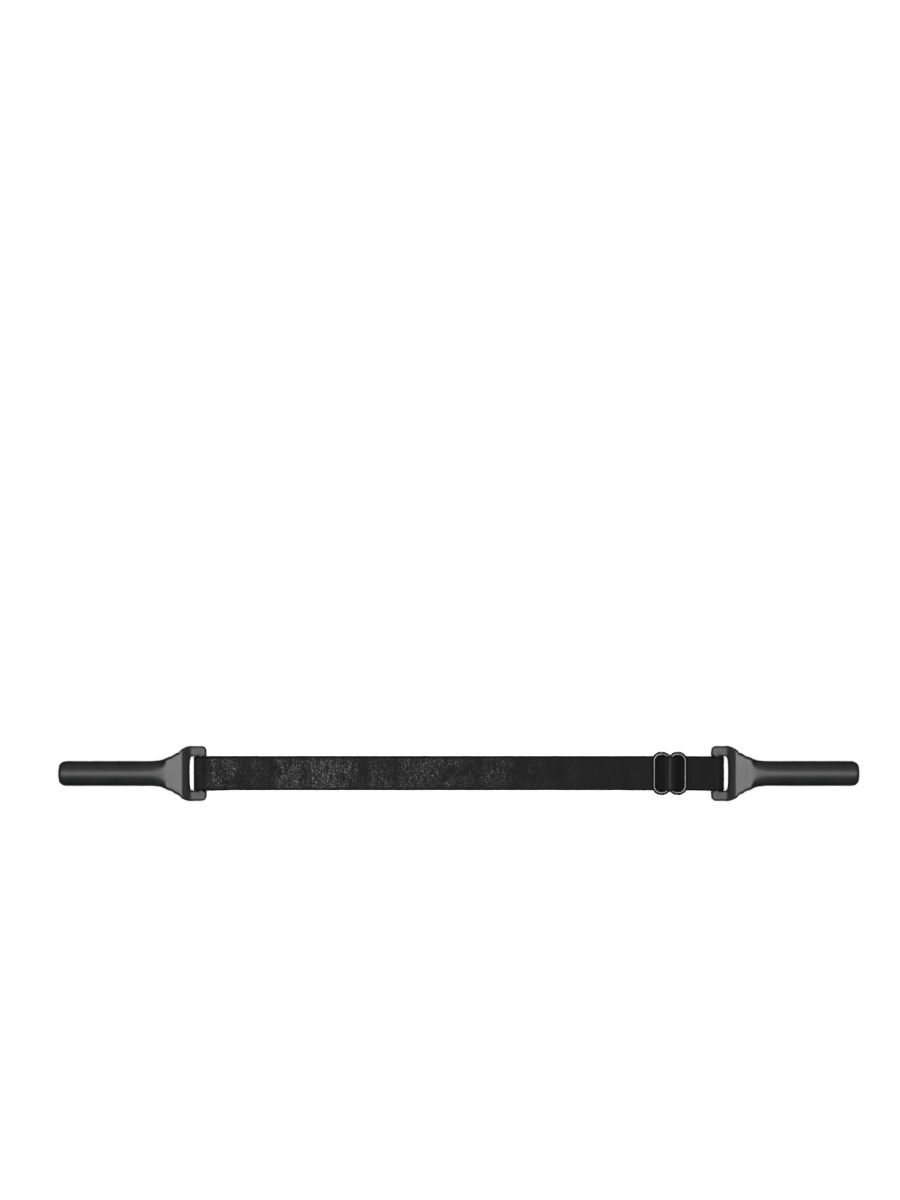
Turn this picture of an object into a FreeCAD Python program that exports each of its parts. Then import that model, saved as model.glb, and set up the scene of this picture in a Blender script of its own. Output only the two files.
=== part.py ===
import FreeCAD, Part
import math
import os

# Adjustable eyewear retainer strap, laid out flat and straight.
#
# Frame: +X runs along the strap towards the adjuster, +Y across it, +Z up.
# The origin is the middle of the footprint on the surface the strap lies on.
#
# The elastic band is one continuous length. Its route, from end to end:
#   sewn tail - wrap round the adjuster's centre bar - lower run - left end bar
#   - upper run - through the adjuster over the sewn end - right end bar - sewn tail
# so the long stretch between the left sleeve and the adjuster is double.

App = FreeCAD
V = App.Vector
doc = App.newDocument("strap")

# ---------------------------------------------------------------- dimensions
sheet = doc.addObject("Spreadsheet::Sheet", "Params")
PARAMS = [
    # band
    ("band_width", 12.3),      # width of the elastic
    ("band_narrow", 10.9),     # its width inside the adjuster, crowded by the wire's corners
    ("band_thick", 0.9),       # thickness of the elastic
    ("lay_gap", 0.1),          # clearance between two plies that lie together
    ("run_left", -80.0),       # where the two plies leave the left loop, flat
    ("run_right", 57.0),       # where they reach the adjuster's zone, flat
    # temple sleeves
    ("axis_z", 4.45),          # height of the sleeve's centre line
    ("tube_radius", 4.45),
    ("tube_end", 145.25),      # outer end of the sleeve from the middle
    ("tube_root", 118.0),      # where the round tube meets the flare
    ("bore_radius", 2.4),
    ("bore_depth", 36.0),
    ("mouth_chamfer", 0.3),
    ("end_round", 1.5),
    ("frame_end", 91.82),      # inner end of the slotted frame
    ("frame_half", 9.88),
    ("frame_thick", 3.2),
    ("slot_half", 6.35),
    ("slot_far", 97.85),       # the slot's edge on the tube's side
    ("bar_x", 93.75),          # centre of the round end bar
    ("bar_radius", 1.6),
    # adjuster, a figure of eight bent from wire
    ("slide_x", 76.7),
    ("slide_z", 3.9),
    ("wire_radius", 0.8),
    ("lobe_offset", 3.04),     # middle of each lobe from the centre bar
    ("lobe_half", 2.6),        # half width of a lobe, to the wire's centre
    ("lobe_reach", 7.0),       # half length of a lobe, to the wire's centre
    ("lobe_corner", 2.2),      # radius of a lobe's outer corners, to the wire's centre
    ("lobe_inner", 1.8),       # radius of its corners beside the centre bar
    # seams
    ("stitch_wide", 0.35),
    ("stitch_long", 1.15),
]
for row, (alias, value) in enumerate(PARAMS, 1):
    sheet.set("A%d" % row, alias)
    sheet.set("B%d" % row, repr(value))
    sheet.setAlias("B%d" % row, alias)
doc.recompute()
P = {alias: float(sheet.get(alias)) for alias, _ in PARAMS}


def plane(body, role):
    for feature in body.Origin.OriginFeatures:
        if feature.Role == role:
            return feature
    raise RuntimeError("no origin plane " + role)


def new_body(label):
    body = doc.addObject("PartDesign::Body", label)
    body.Label = label
    body.Placement = App.Placement()
    return body


def sketch_on(body, name, role, lift=0.0, bound=None):
    """A sketch on one of the body's own origin planes, moved along its normal."""
    sk = body.newObject("Sketcher::SketchObject", name)
    sk.AttachmentSupport = [(plane(body, role), "")]
    sk.MapMode = "FlatFace"
    sk.AttachmentOffset = App.Placement(V(0, 0, lift), App.Rotation())
    if bound:
        sk.setExpression("AttachmentOffset.Base.z", bound)
    return sk


def add_circle(sk, x, y, radius, bound):
    i = sk.addGeometry(Part.Circle(V(x, y, 0), V(0, 0, 1), radius))
    import Sketcher

    c = sk.addConstraint(Sketcher.Constraint("Radius", i, radius))
    sk.renameConstraint(c, "radius")
    sk.setExpression("Constraints.radius", bound)
    return i


# ------------------------------------------------- the band's line of centres
# A route is a list of (x, z, s): round a circle of radius |s|, which lies to the
# right of the way for s > 0 and to the left for s < 0; s = 0 is an end point.
def headings(route):
    out = []
    for (x0, z0, s0), (x1, z1, s1) in zip(route, route[1:]):
        dist = math.hypot(x1 - x0, z1 - z0)
        lean = max(-1.0, min(1.0, (s1 - s0) / dist))
        out.append(math.atan2(z1 - z0, x1 - x0) + math.asin(lean))
    return out


def segments(route):
    """The route as ("L", p, q) and ("A", centre, radius, start, turn) items."""
    heads, items = headings(route), []

    def at(k, phi):
        x, z, s = route[k]
        return (x - s * math.sin(phi), z + s * math.cos(phi))

    for k, phi in enumerate(heads):
        if k:
            x, z, s = route[k]
            turn = phi - heads[k - 1]
            while turn > math.pi:
                turn -= 2 * math.pi
            while turn < -math.pi:
                turn += 2 * math.pi
            if s > 0 and turn > 1e-9:
                turn -= 2 * math.pi
            if s < 0 and turn < -1e-9:
                turn += 2 * math.pi
            if abs(turn) > 1e-6:
                px, pz = at(k, heads[k - 1])
                items.append(("A", (x, z), abs(s), math.atan2(pz - z, px - x), turn))
        p, q = at(k, phi), at(k + 1, phi)
        if math.dist(p, q) > 1e-6:
            items.append(("L", p, q))
    return items


def length_of(items):
    total = 0.0
    for item in items:
        total += math.dist(item[1], item[2]) if item[0] == "L" else item[2] * abs(item[4])
    return total


def side(items, shift):
    """The items shifted to the left of the way by shift."""
    out = []
    for item in items:
        if item[0] == "L":
            (x0, z0), (x1, z1) = item[1], item[2]
            d = math.dist(item[1], item[2])
            nx, nz = -(z1 - z0) / d * shift, (x1 - x0) / d * shift
            out.append(("L", (x0 + nx, z0 + nz), (x1 + nx, z1 + nz)))
        else:
            _, c, r, start, turn = item
            # turning left, the centre is on the left, so the left side is nearer to it
            out.append(("A", c, r - shift if turn > 0 else r + shift, start, turn))
    return out


def to_geometry(items):
    geo = []
    for item in items:
        if item[0] == "L":
            geo.append(
                Part.LineSegment(V(item[1][0], item[1][1], 0), V(item[2][0], item[2][1], 0))
            )
        else:
            _, (cx, cz), r, start, turn = item
            a, b = (start, start + turn) if turn > 0 else (start + turn, start)
            geo.append(Part.ArcOfCircle(Part.Circle(V(cx, cz, 0), V(0, 0, 1), r), a, b))
    return geo


def ends(items):
    def point(item, last):
        if item[0] == "L":
            return item[2] if last else item[1]
        _, (cx, cz), r, start, turn = item
        a = start + turn if last else start
        return (cx + r * math.cos(a), cz + r * math.sin(a))

    return point(items[0], False), point(items[-1], True)


def ribbon(label, route, crowded=False):
    """A ply of band along a route: its long section, padded to the band's width.

    A crowded ply is drawn in to the narrow width between the adjuster's sides.
    """
    body = new_body(label)
    sk = sketch_on(body, label + "_section", "XZ_Plane")
    items = segments(route)
    half = P["band_thick"] / 2
    left, right = side(items, half), side(items, -half)
    geo = to_geometry(left) + to_geometry(right)
    for one, other in zip(ends(left), ends(right)):
        geo.append(Part.LineSegment(V(one[0], one[1], 0), V(other[0], other[1], 0)))
    sk.addGeometry(geo, False)
    pad = body.newObject("PartDesign::Pad", label + "_pad")
    pad.Profile = sk
    pad.SideType = "Symmetric" if hasattr(pad, "SideType") else None
    pad.Length = P["band_width"]
    pad.setExpression("Length", "Params.band_width")
    body.Tip = pad
    if crowded:
        doc.recompute()
        trim = sketch_on(body, label + "_sides", "XY_Plane", P["slide_z"], "Params.slide_z")
        wide, slim, x = P["band_width"] / 2 + 0.1, P["band_narrow"] / 2, P["slide_x"]
        for sign in (1, -1):
            pts = [(x - 7, wide), (x - 5.7, slim), (x + 5.7, slim), (x + 7, wide), (x + 7, 9), (x - 7, 9)]
            pts = [V(a, sign * b, 0) for a, b in pts]
            trim.addGeometry([Part.LineSegment(a, b) for a, b in zip(pts, pts[1:] + pts[:1])], False)
        cut = body.newObject("PartDesign::Pocket", label + "_drawn_in")
        cut.Profile = trim
        if hasattr(cut, "SideType"):
            cut.SideType = "Symmetric"
        else:
            cut.Midplane = True
        cut.Type = "Length"
        cut.Length = 12.0
        doc.recompute()
        body.Tip = cut
    return body, length_of(items)


t, gap = P["band_thick"], P["lay_gap"]
mid = t / 2
pitch = t + gap
low_z, up_z = mid, mid + pitch
bar_r = P["bar_radius"] + gap + mid
wrap_r = P["wire_radius"] + gap + mid
az, bx = P["axis_z"], P["bar_x"]
sx, sz = P["slide_x"], P["slide_z"]
inner = P["lobe_offset"] - P["lobe_half"]      # centre bar's two wires from the middle
outer = P["lobe_offset"] + P["lobe_half"]      # outer bars from the middle
tail_z = sz - wrap_r - pitch                   # the sewn tail, under the left outer bar
pass_z = sz - wrap_r                           # the passing ply, under the outer bars

drop_r = 2.62
sewn_end = [
    (sx - 11.7, tail_z, 0),
    (sx - outer, sz, -(wrap_r + pitch)),
    (sx - inner, sz, wrap_r),
    (sx + inner, sz, wrap_r),
    (sx - inner, sz, wrap_r),
    (sx - inner, sz - wrap_r - drop_r, -drop_r),
    (sx - inner - 4.4, low_z + drop_r, drop_r),
    (P["run_right"], low_z, 0),
]
left_loop = [
    (P["run_left"], low_z, 0),
    (-84.5, low_z + 8.0, 8.0),
    (-bx, az, bar_r),
    (-81.0, up_z + 9.0, -9.0),
    (P["run_left"], up_z, 0),
]
wave = [
    (P["run_right"], up_z, 0),
    (58.0, up_z + 6.0, -6.0),
    (63.6, pass_z - 6.0, 6.0),
    (sx - outer, sz, -wrap_r),
    (sx - inner, sz, wrap_r + pitch),
    (sx + inner, sz, wrap_r + pitch),
    (sx + outer, sz, -wrap_r),
    (bx, az, bar_r),
]
# the straight ply from the adjuster up to the right end bar is cut in three
rise = headings(wave)[-1]
foot = (
    sx + outer + wrap_r * math.sin(rise),
    sz - wrap_r * math.cos(rise),
)


def on_rise(x, below=0.0):
    d = x - foot[0]
    return (x + below * math.sin(rise), foot[1] + d * math.tan(rise) - below * math.cos(rise))


cut_a, cut_b = on_rise(83.5), on_rise(84.7)
wave[-1] = (cut_a[0], cut_a[1], 0)
short_run = [(cut_a[0], cut_a[1], 0), (cut_b[0], cut_b[1], 0)]
crest_r = 3.0
turn_in = on_rise(87.4, pitch)
right_loop = [
    (cut_b[0], cut_b[1], 0),
    (bx, az, bar_r),
    (
        turn_in[0] + crest_r * math.sin(rise),
        turn_in[1] - crest_r * math.cos(rise),
        -crest_r,
    ),
    on_rise(84.7, pitch) + (0,),
]

made, lengths = {}, {}
for label, route in [
    ("band_sewn_end", sewn_end),
    ("band_left_loop", left_loop),
    ("band_slider_wave", wave),
    ("band_short_run", short_run),
    ("band_right_loop", right_loop),
]:
    made[label], lengths[label] = ribbon(label, route, label in ("band_sewn_end", "band_slider_wave"))

# the two long plies are plain flat strips
for label, height in (("band_lower_run", 0.0), ("band_upper_run", pitch)):
    strip = doc.addObject("Part::Box", label)
    strip.Label = label
    strip.setExpression("Length", "Params.run_right - Params.run_left")
    strip.setExpression("Width", "Params.band_width")
    strip.setExpression("Height", "Params.band_thick")
    strip.setExpression("Placement.Base.x", "Params.run_left")
    strip.setExpression("Placement.Base.y", "-Params.band_width / 2")
    if height:
        strip.setExpression("Placement.Base.z", "Params.band_thick + Params.lay_gap")
    made[label] = strip
    lengths[label] = P["run_right"] - P["run_left"]


# ------------------------------------------------------------ temple sleeves
# Cross sections of the flare: (distance from the middle, half width, half
# thickness, corner radius). The first is the round of the tube.
FLARE = [
    (118.00, 4.45, 4.45, 4.40),
    (113.00, 4.47, 4.08, 3.90),
    (110.00, 4.60, 3.72, 3.30),
    (108.00, 4.90, 3.52, 2.60),
    (106.40, 5.55, 3.42, 1.80),
    (105.20, 6.05, 3.38, 1.30),
    (104.40, 6.24, 3.37, 1.20),
    (103.15, 7.12, 3.34, 1.20),
    (102.25, 7.40, 3.32, 1.20),
    (100.70, 8.75, 3.30, 1.20),
    (99.20, 9.57, 2.55, 1.20),
    (97.30, 9.88, 1.60, 1.20),
    (93.20, 9.88, 1.60, 1.20),
    (92.30, 9.45, 1.60, 1.20),
    (91.82, 8.70, 1.60, 1.20),
]


def rounded_rect(sk, cx, cy, w, d, r):
    """A rounded rectangle of half sizes w and d as four lines and four arcs."""
    pts = [(w - r, d - r, 0), (-(w - r), d - r, 90), (-(w - r), -(d - r), 180), (w - r, -(d - r), 270)]
    geo = []
    for k, (x, y, a) in enumerate(pts):
        a0, a1 = math.radians(a), math.radians(a + 90)
        geo.append(
            Part.ArcOfCircle(Part.Circle(V(cx + x, cy + y, 0), V(0, 0, 1), r), a0, a1)
        )
        nx, ny, _ = pts[(k + 1) % 4]
        p = V(cx + x + r * math.cos(a1), cy + y + r * math.sin(a1), 0)
        q = V(cx + nx + r * math.cos(a1), cy + ny + r * math.sin(a1), 0)
        geo.append(Part.LineSegment(p, q))
    sk.addGeometry(geo, False)


def sleeve(label, sign):
    body = new_body(label)
    # the flare, lofted through its cross sections, from the tube to the frame
    order = FLARE
    sections = []
    for k, (x, w, d, r) in enumerate(order):
        sk = sketch_on(body, "%s_section_%d" % (label, k), "YZ_Plane", sign * x)
        rounded_rect(sk, 0, P["axis_z"], w, d, r)
        sections.append(sk)
    loft = body.newObject("PartDesign::AdditiveLoft", label + "_flare")
    loft.Profile = sections[0]
    loft.Sections = sections[1:]
    loft.Ruled = True
    doc.recompute()
    # the tube
    tube = sketch_on(body, label + "_round", "YZ_Plane", sign * P["tube_end"])
    tube.setExpression("AttachmentOffset.Base.z", "%d * Params.tube_end" % sign)
    add_circle(tube, 0, P["axis_z"], P["tube_radius"], "Params.tube_radius")
    pad = body.newObject("PartDesign::Pad", label + "_tube")
    pad.Profile = tube
    pad.Length = P["tube_end"] - P["tube_root"]
    pad.setExpression("Length", "Params.tube_end - Params.tube_root")
    pad.Reversed = sign > 0
    doc.recompute()
    body.Tip = pad
    before = pad.Shape.Volume
    # the slot, open towards the middle until the end bar closes it
    slot = sketch_on(body, label + "_slot", "XY_Plane", P["axis_z"])
    slot.setExpression("AttachmentOffset.Base.z", "Params.axis_z")
    near, far, half = sign * (P["frame_end"] - 2), sign * P["slot_far"], P["slot_half"]
    r = 1.0
    inner_x = far - sign * r
    slot.addGeometry(
        [
            Part.LineSegment(V(near, -half, 0), V(inner_x, -half, 0)),
            Part.LineSegment(V(far, -half + r, 0), V(far, half - r, 0)),
            Part.LineSegment(V(inner_x, half, 0), V(near, half, 0)),
            Part.LineSegment(V(near, half, 0), V(near, -half, 0)),
            Part.ArcOfCircle(
                Part.Circle(V(inner_x, half - r, 0), V(0, 0, 1), r),
                math.radians(0 if sign > 0 else 90),
                math.radians(90 if sign > 0 else 180),
            ),
            Part.ArcOfCircle(
                Part.Circle(V(inner_x, -half + r, 0), V(0, 0, 1), r),
                math.radians(270 if sign > 0 else 180),
                math.radians(360 if sign > 0 else 270),
            ),
        ],
        False,
    )
    cut = body.newObject("PartDesign::Pocket", label + "_slot_cut")
    cut.Profile = slot
    if hasattr(cut, "SideType"):
        cut.SideType = "Symmetric"
    else:
        cut.Midplane = True
    cut.Type = "Length"
    cut.Length = 12.0
    doc.recompute()
    body.Tip = cut
    if not cut.Shape.Volume < before - 100:
        raise RuntimeError(label + ": the slot cut nothing")
    # the round end bar
    bar = sketch_on(body, label + "_bar_round", "XZ_Plane")
    add_circle(bar, sign * P["bar_x"], P["axis_z"], P["bar_radius"], "Params.bar_radius")
    rod = body.newObject("PartDesign::Pad", label + "_bar")
    rod.Profile = bar
    if hasattr(rod, "SideType"):
        rod.SideType = "Symmetric"
    else:
        rod.Midplane = True
    rod.Length = 2 * P["slot_half"] + 1.0
    rod.setExpression("Length", "2 * Params.slot_half + 1")
    doc.recompute()
    body.Tip = rod
    # the blind bore for the temple tip
    hole = sketch_on(body, label + "_bore_round", "YZ_Plane", sign * P["tube_end"])
    hole.setExpression("AttachmentOffset.Base.z", "%d * Params.tube_end" % sign)
    add_circle(hole, 0, P["axis_z"], P["bore_radius"], "Params.bore_radius")
    bore = body.newObject("PartDesign::Pocket", label + "_bore")
    bore.Profile = hole
    bore.Type = "Length"
    bore.Length = P["bore_depth"]
    bore.setExpression("Length", "Params.bore_depth")
    bore.Reversed = sign < 0
    doc.recompute()
    body.Tip = bore
    want = math.pi * P["bore_radius"] ** 2 * P["bore_depth"]
    if abs(rod.Shape.Volume - bore.Shape.Volume - want) > 1.0:
        raise RuntimeError(label + ": the bore cut the wrong amount")

    # the mouth's chamfer and the rounded end of the tube
    def rim(radius):
        for k, edge in enumerate(bore.Shape.Edges, 1):
            c = edge.Curve
            if isinstance(c, Part.Circle) and abs(c.Radius - radius) < 1e-6:
                if abs(c.Center.x - sign * P["tube_end"]) < 1e-6:
                    return "Edge%d" % k
        raise RuntimeError(label + ": no rim")

    rounding = body.newObject("PartDesign::Fillet", label + "_end_round")
    rounding.Base = (bore, [rim(P["tube_radius"])])
    rounding.Radius = P["end_round"]
    rounding.setExpression("Radius", "Params.end_round")
    doc.recompute()
    body.Tip = rounding
    for k, edge in enumerate(rounding.Shape.Edges, 1):
        c = edge.Curve
        if isinstance(c, Part.Circle) and abs(c.Radius - P["bore_radius"]) < 1e-6:
            if abs(c.Center.x - sign * P["tube_end"]) < 1e-6:
                mouth = "Edge%d" % k
    chamfer = body.newObject("PartDesign::Chamfer", label + "_mouth")
    chamfer.Base = (rounding, [mouth])
    chamfer.Size = P["mouth_chamfer"]
    chamfer.setExpression("Size", "Params.mouth_chamfer")
    doc.recompute()
    body.Tip = chamfer
    return body


made["left_sleeve"] = sleeve("left_sleeve", -1)
made["right_sleeve"] = sleeve("right_sleeve", 1)


# ------------------------------------------------------------------ adjuster
# Two rounded lobes of wire, side by side, whose inner sides run together as the
# centre bar.
def slider():
    body = new_body("slider_ring")
    w, reach, r, small = P["lobe_half"], P["lobe_reach"], P["lobe_corner"], P["lobe_inner"]
    for n, sign in (("left", -1), ("right", 1)):
        cx = sx + sign * P["lobe_offset"]
        spine = sketch_on(body, "lobe_%s_line" % n, "XY_Plane", sz)
        spine.setExpression("AttachmentOffset.Base.z", "Params.slide_z")
        geo = [Part.LineSegment(V(cx + sign * w, 0, 0), V(cx + sign * w, reach - r, 0))]
        corners = [(sign, 1, r), (-sign, 1, small), (-sign, -1, small), (sign, -1, r)]
        for a, b, turn in corners:
            centre = V(cx + a * (w - turn), b * (reach - turn), 0)
            start = math.degrees(math.atan2(b, a)) - 45
            geo.append(
                Part.ArcOfCircle(
                    Part.Circle(centre, V(0, 0, 1), turn),
                    math.radians(start),
                    math.radians(start + 90),
                )
            )
        geo.append(Part.LineSegment(V(cx + sign * (w - r), reach, 0), V(cx - sign * (w - small), reach, 0)))
        geo.append(Part.LineSegment(V(cx - sign * w, reach - small, 0), V(cx - sign * w, small - reach, 0)))
        geo.append(Part.LineSegment(V(cx - sign * (w - small), -reach, 0), V(cx + sign * (w - r), -reach, 0)))
        geo.append(Part.LineSegment(V(cx + sign * w, r - reach, 0), V(cx + sign * w, 0, 0)))
        spine.addGeometry(geo, False)
        ring = sketch_on(body, "lobe_%s_wire" % n, "XZ_Plane")
        add_circle(ring, cx + sign * w, sz, P["wire_radius"], "Params.wire_radius")
        pipe = body.newObject("PartDesign::AdditivePipe", "lobe_%s" % n)
        pipe.Profile = ring
        pipe.Spine = spine
        doc.recompute()
        body.Tip = pipe
    return body


made["slider_ring"] = slider()


# --------------------------------------------------------------------- seams
# Each seam is three rows of thread across the band, through two plies.
def tack(label, rows, lean, bottom, top):
    """rows: the middle of each row as (x, z); lean: the plies' slope."""
    solids = []
    wide, long = P["stitch_wide"], P["stitch_long"]
    count = 7
    for row, (x, z) in enumerate(rows):
        for k in range(count):
            y = (k - (count - 1) / 2) * 1.55 + (0.2 if row % 2 else -0.2)
            box = Part.makeBox(wide, long, top - bottom, V(-wide / 2, y - long / 2, bottom))
            box = box.makeFillet(0.12, [e for e in box.Edges if abs(e.tangentAt(e.FirstParameter).z) > 0.9])
            box.rotate(V(0, 0, 0), V(0, 1, 0), -math.degrees(lean))
            box.translate(V(x, 0, z))
            solids.append(box)
    part = doc.addObject("Part::Feature", label)
    part.Label = label
    part.Shape = Part.makeCompound(solids)
    part.Placement = App.Placement()
    return part


seam_z = (low_z + tail_z) / 2
thick = tail_z - low_z + t
made["slider_bar_tack"] = tack(
    "slider_bar_tack",
    [(sx - 10.4, seam_z), (sx - 9.2, seam_z), (sx - 8.0, seam_z)],
    0.0,
    -thick / 2 + 0.02,
    thick / 2 + 0.05,
)
seam_t = 2 * t + gap
made["right_bar_tack"] = tack(
    "right_bar_tack",
    [on_rise(x, pitch / 2) for x in (85.5, 86.5, 87.5)],
    rise,
    -seam_t / 2 - 0.05,
    seam_t / 2 + 0.05,
)

# --------------------------------------------------------------------- check
doc.recompute()
for obj in doc.Objects:
    if "Invalid" in obj.State or "Error" in obj.State:
        raise RuntimeError("%s: %s" % (obj.Name, obj.State))
os.makedirs("parts", exist_ok=True)
for label, obj in sorted(made.items()):
    shape = obj.Shape
    if shape.isNull() or not shape.isValid() or not shape.Solids:
        raise RuntimeError(label + ": bad shape")
    if obj.Label != label:
        raise RuntimeError(label + ": its label is " + obj.Label)
    b = shape.BoundBox
    print(
        "%-18s solids %2d  volume %8.2f  x %8.3f %8.3f  y %7.3f %7.3f  z %6.3f %6.3f"
        % (label, len(shape.Solids), shape.Volume, b.XMin, b.XMax, b.YMin, b.YMax, b.ZMin, b.ZMax)
    )
for label, length in lengths.items():
    want = length * P["band_thick"] * P["band_width"]
    print("%-18s length %7.2f  volume / (section x length) %.4f" % (label, length, made[label].Shape.Volume / want))
print("band, end to end: %.1f mm; slope to the right bar %.1f deg" % (sum(lengths.values()), math.degrees(rise)))
for label, obj in sorted(made.items()):
    obj.Shape.exportStep("parts/%s.step" % label)
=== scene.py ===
import math

import bmesh
import bpy
import numpy as np
from mathutils import Euler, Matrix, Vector


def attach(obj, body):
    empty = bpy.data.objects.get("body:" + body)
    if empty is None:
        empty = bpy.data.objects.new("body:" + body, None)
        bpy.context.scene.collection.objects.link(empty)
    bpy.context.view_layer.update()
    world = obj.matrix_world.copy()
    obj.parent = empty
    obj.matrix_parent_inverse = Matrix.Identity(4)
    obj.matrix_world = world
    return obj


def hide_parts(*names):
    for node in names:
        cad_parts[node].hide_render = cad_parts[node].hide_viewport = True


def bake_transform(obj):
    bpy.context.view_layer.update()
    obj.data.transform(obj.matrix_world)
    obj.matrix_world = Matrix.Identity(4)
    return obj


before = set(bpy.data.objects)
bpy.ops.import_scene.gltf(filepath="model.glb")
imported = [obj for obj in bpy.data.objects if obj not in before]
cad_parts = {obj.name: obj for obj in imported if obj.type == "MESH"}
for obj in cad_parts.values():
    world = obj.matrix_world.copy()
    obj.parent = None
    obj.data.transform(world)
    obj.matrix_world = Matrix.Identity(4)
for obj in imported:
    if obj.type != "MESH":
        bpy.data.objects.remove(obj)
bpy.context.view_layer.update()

MM = 0.001
rng = np.random.default_rng(7)

# ------------------------------------------------------------------ numbers
# All shapes below are worked in millimetres in the row's frame.
AXIS_Z = 4.45
BAR_X, BAR_R = 93.75, 1.6
TUBE_END = 145.25
SX, SZ = 76.7, 3.9                 # the adjuster's middle
WIRE_R = 0.8
LOBE_OFF, LOBE_W, LOBE_REACH = 3.04, 2.6, 7.0
LOBE_R, LOBE_IN = 2.45, 2.2        # a lobe's outer corners, and those beside the centre bar
BAND_W, BAND_SLIM, BAND_T, GAP = 12.3, 10.9, 0.9, 0.1
RUN_L, RUN_R = -80.0, 57.0


# ------------------------------------------------------------- small helpers
def mesh_object(name, verts, faces, smooth=True):
    mesh = bpy.data.meshes.new(name)
    mesh.from_pydata([tuple(v) for v in np.asarray(verts) * MM], [], [tuple(int(i) for i in f) for f in faces])
    mesh.validate()
    mesh.update()
    obj = bpy.data.objects.new(name, mesh)
    bpy.context.collection.objects.link(obj)
    if smooth:
        mesh.polygons.foreach_set("use_smooth", [True] * len(mesh.polygons))
    return obj


def smoothstep(a, b, x):
    t = np.clip((x - a) / (b - a), 0, 1)
    return t * t * (3 - 2 * t)


def smin(a, b, k):
    """The lower of two fields, rounded where they meet over about k."""
    h = np.clip(0.5 + 0.5 * (b - a) / k, 0, 1)
    return b * (1 - h) + a * h - k * h * (1 - h)


def smax(a, b, k):
    return -smin(-a, -b, k)


def cubic(xs, ys, x):
    """A monotone cubic through (xs, ys), level at both ends."""
    xs, ys = np.asarray(xs, float), np.asarray(ys, float)
    d = np.diff(ys) / np.diff(xs)
    m = np.zeros_like(xs)
    for i in range(1, len(xs) - 1):
        if d[i - 1] * d[i] > 0:
            w1, w2 = 2 * (xs[i + 1] - xs[i]) + (xs[i] - xs[i - 1]), (xs[i + 1] - xs[i]) + 2 * (xs[i] - xs[i - 1])
            m[i] = (w1 + w2) / (w1 / d[i - 1] + w2 / d[i])
    x = np.clip(x, xs[0], xs[-1])
    k = np.clip(np.searchsorted(xs, x, side="right") - 1, 0, len(xs) - 2)
    step = xs[k + 1] - xs[k]
    t = (x - xs[k]) / step
    t2, t3 = t * t, t * t * t
    return (
        ys[k] * (2 * t3 - 3 * t2 + 1)
        + m[k] * step * (t3 - 2 * t2 + t)
        + ys[k + 1] * (-2 * t3 + 3 * t2)
        + m[k + 1] * step * (t3 - t2)
    )


def skin(field, lo, hi, step, rounds=4):
    """A quad mesh of field = 0 by surface nets, drawn onto the exact surface."""
    lo, hi = np.array(lo, float), np.array(hi, float)
    n = np.ceil((hi - lo) / step).astype(int) + 1
    axes = [lo[i] + step * np.arange(n[i]) for i in range(3)]
    X, Y, Z = np.meshgrid(*axes, indexing="ij")
    F = field(np.stack([X, Y, Z], -1).reshape(-1, 3)).reshape(n)
    inside = F < 0
    cells = tuple(n - 1)
    total, count = np.zeros(cells + (3,)), np.zeros(cells)
    corners = [(i, j, k) for i in (0, 1) for j in (0, 1) for k in (0, 1)]
    for a in corners:
        for axis in range(3):
            if a[axis]:
                continue
            b = list(a)
            b[axis] = 1
            sa = tuple(slice(a[i], a[i] + cells[i]) for i in range(3))
            sb = tuple(slice(b[i], b[i] + cells[i]) for i in range(3))
            fa, fb = F[sa], F[sb]
            cross = inside[sa] != inside[sb]
            t = np.where(cross, fa / np.where(cross, fa - fb, 1), 0)
            p = np.zeros(cells + (3,))
            for i in range(3):
                p[..., i] = a[i]
            p[..., axis] += t
            total += np.where(cross[..., None], p, 0)
            count += cross
    used = count > 0
    index = -np.ones(cells, int)
    index[used] = np.arange(used.sum())
    where = np.argwhere(used)
    verts = lo + step * (where + total[used] / count[used][:, None])
    faces = []
    for axis in range(3):
        o1, o2 = (axis + 1) % 3, (axis + 2) % 3
        sa = [slice(1, n[i] - 1) for i in range(3)]
        sa[axis] = slice(0, n[axis] - 1)
        sb = list(sa)
        sb[axis] = slice(1, n[axis])
        A, B = inside[tuple(sa)], inside[tuple(sb)]
        for flip, hit in ((False, A & ~B), (True, ~A & B)):
            at = np.argwhere(hit)
            at[:, o1] += 1
            at[:, o2] += 1
            quad = []
            for d1, d2 in ((1, 1), (0, 1), (0, 0), (1, 0)):
                c = at.copy()
                c[:, o1] -= d1
                c[:, o2] -= d2
                quad.append(index[c[:, 0], c[:, 1], c[:, 2]])
            q = np.stack(quad, 1)
            faces.append(q[:, ::-1] if flip else q)
    faces = np.concatenate(faces)
    faces = faces[(faces >= 0).all(1)]
    # relax sideways and draw back onto the surface
    e = 1e-3
    for turn in range(rounds):
        if turn:
            near, many = np.zeros_like(verts), np.zeros(len(verts))
            for i in range(4):
                a, b = faces[:, i], faces[:, (i + 1) % 4]
                np.add.at(near, a, verts[b])
                np.add.at(near, b, verts[a])
                np.add.at(many, a, 1)
                np.add.at(many, b, 1)
            verts = verts * 0.5 + near / many[:, None] * 0.5
        for _ in range(2):
            f = field(verts)
            g = np.stack(
                [(field(verts + d) - field(verts - d)) / (2 * e) for d in np.eye(3) * e], 1
            )
            move = -(f / np.maximum((g * g).sum(1), 0.05))[:, None] * g
            far = np.linalg.norm(move, axis=1, keepdims=True)
            verts = verts + move * np.minimum(1, 0.4 * step / np.maximum(far, 1e-9))
    return verts, faces


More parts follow.
